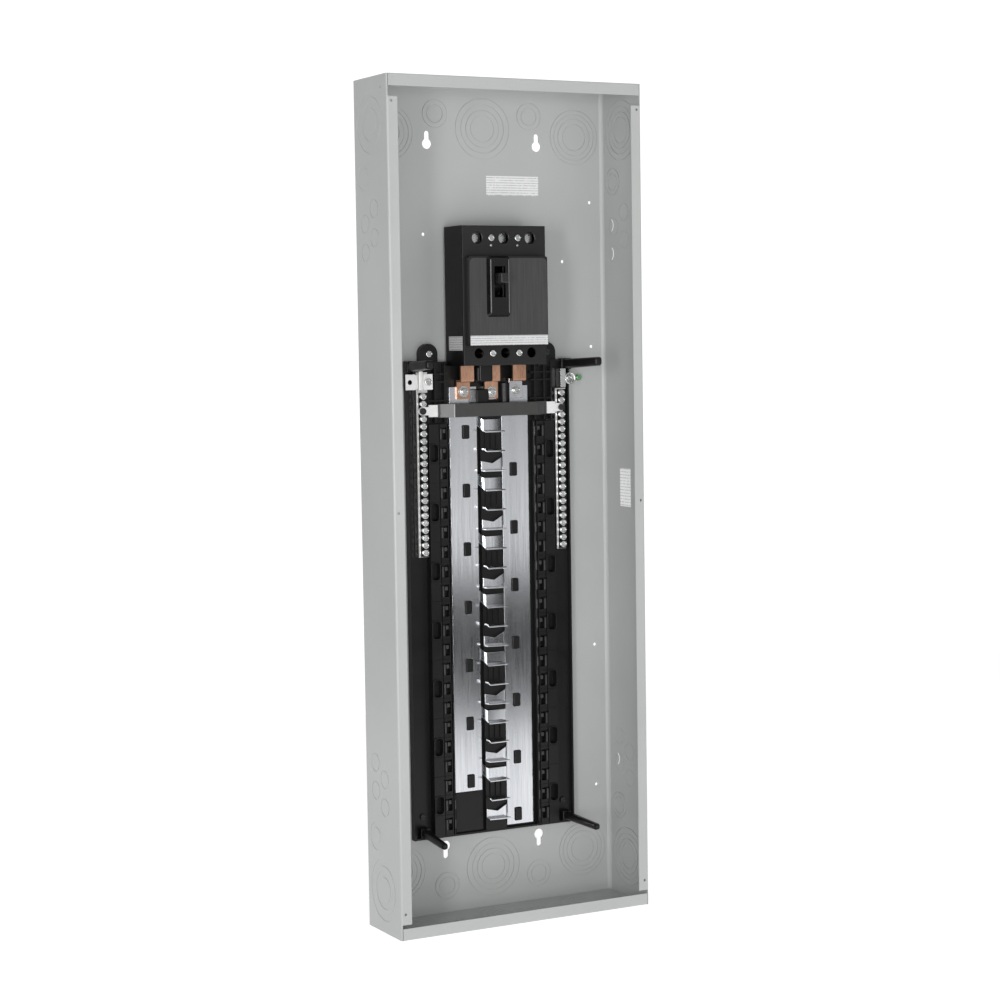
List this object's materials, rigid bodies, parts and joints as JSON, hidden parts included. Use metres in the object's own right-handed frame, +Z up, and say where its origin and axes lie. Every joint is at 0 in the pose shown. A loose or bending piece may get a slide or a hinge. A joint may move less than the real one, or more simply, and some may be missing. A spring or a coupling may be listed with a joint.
{
  "type": "residential load center",
  "caption": "Tall grey steel load center box, cover off, with plug-on bus interior, neutral bars and a main breaker at the top.",
  "frame": {"origin": "centre of the box's flat back face", "axes": "+Z up along the height, front towards -Y, +X to the right seen from the front"},
  "size_m": [0.362, 0.0984, 1.075],
  "materials": {
    "box_paint": "satin light grey paint",
    "black_moulding": "matt black moulding",
    "zinc_screw": "zinc plated",
    "tinned_bus": "tin plated aluminium",
    "copper": "bare copper",
    "neutral_aluminium": "plain aluminium",
    "tinned_strap": "bright tin plate",
    "sleeve": "dark insulating sleeve",
    "dark_screw": "dark",
    "green_screw": "green",
    "breaker_moulding": "dark moulding",
    "bezel": "gloss black",
    "steel_plate": "plain steel",
    "label": null
  },
  "bodies": {
    "panel": {"box_wrap": "box_paint", "top_end_wall": "box_paint", "bottom_end_wall": "box_paint", "interior_base": "black_moulding", "rail_left": "black_moulding", "rail_right": "black_moulding", "post_top_left": "black_moulding", "post_top_right": "black_moulding", "post_bottom_left": "black_moulding", "post_bottom_right": "black_moulding", "stab_insulator": "black_moulding", "head_insulator": "black_moulding", "interior_screws": "zinc_screw", "bus_a": "tinned_bus", "bus_b": "tinned_bus", "bus_c": "tinned_bus", "strap_a": "copper", "strap_b": "copper", "strap_c": "copper", "strap_bolts": "zinc_screw", "neutral_bar_left": "neutral_aluminium", "neutral_bar_right": "neutral_aluminium", "terminal_screws": "zinc_screw", "neutral_tie": "tinned_strap", "tie_sleeve": "sleeve", "tie_screws": "dark_screw", "neutral_lug": "tinned_strap", "neutral_lug_screw": "zinc_screw", "bonding_strap": "tinned_strap", "bonding_screw": "green_screw", "breaker_base": "breaker_moulding", "breaker_cover": "breaker_moulding", "handle_bezel": "bezel", "breaker_screws": "zinc_screw", "line_lugs": "neutral_aluminium", "line_lug_screws": "zinc_screw", "line_terminals": "copper", "load_terminals": "copper", "load_screws": "zinc_screw", "arc_chutes": "steel_plate", "trip_magnets": "steel_plate", "breaker_label": "label", "breaker_side_label": "label", "back_label": "label", "wall_label": "label"},
    "handle": {"handle": "bezel"},
    "contact_bar": {"crossbar": "breaker_moulding", "contact_arms": "copper"},
    "trip_latch_bar": {"trip_bar": "breaker_moulding"}
  },
  "joints": [
    {"name": "main_handle", "type": "hinge", "parent": "panel", "child": "handle", "pos_m": [-0.0153, -0.046, 0.285], "axis": [1, 0, 0], "range_deg": [0, 28]},
    {"name": "contact_crossbar", "type": "hinge", "parent": "panel", "child": "contact_bar", "pos_m": [0, -0.036, 0.262], "axis": [1, 0, 0], "range_deg": [0, 35]},
    {"name": "trip_bar_turn", "type": "hinge", "parent": "panel", "child": "trip_latch_bar", "pos_m": [0, -0.044, 0.234], "axis": [1, 0, 0], "range_deg": [0, 14], "stiffness_Nm_per_rad": 0.02, "springref_deg": -11.46}
  ],
  "couplings": [
    {"joint": "contact_crossbar", "follows": "main_handle", "ratio": 1.25}
  ]
}
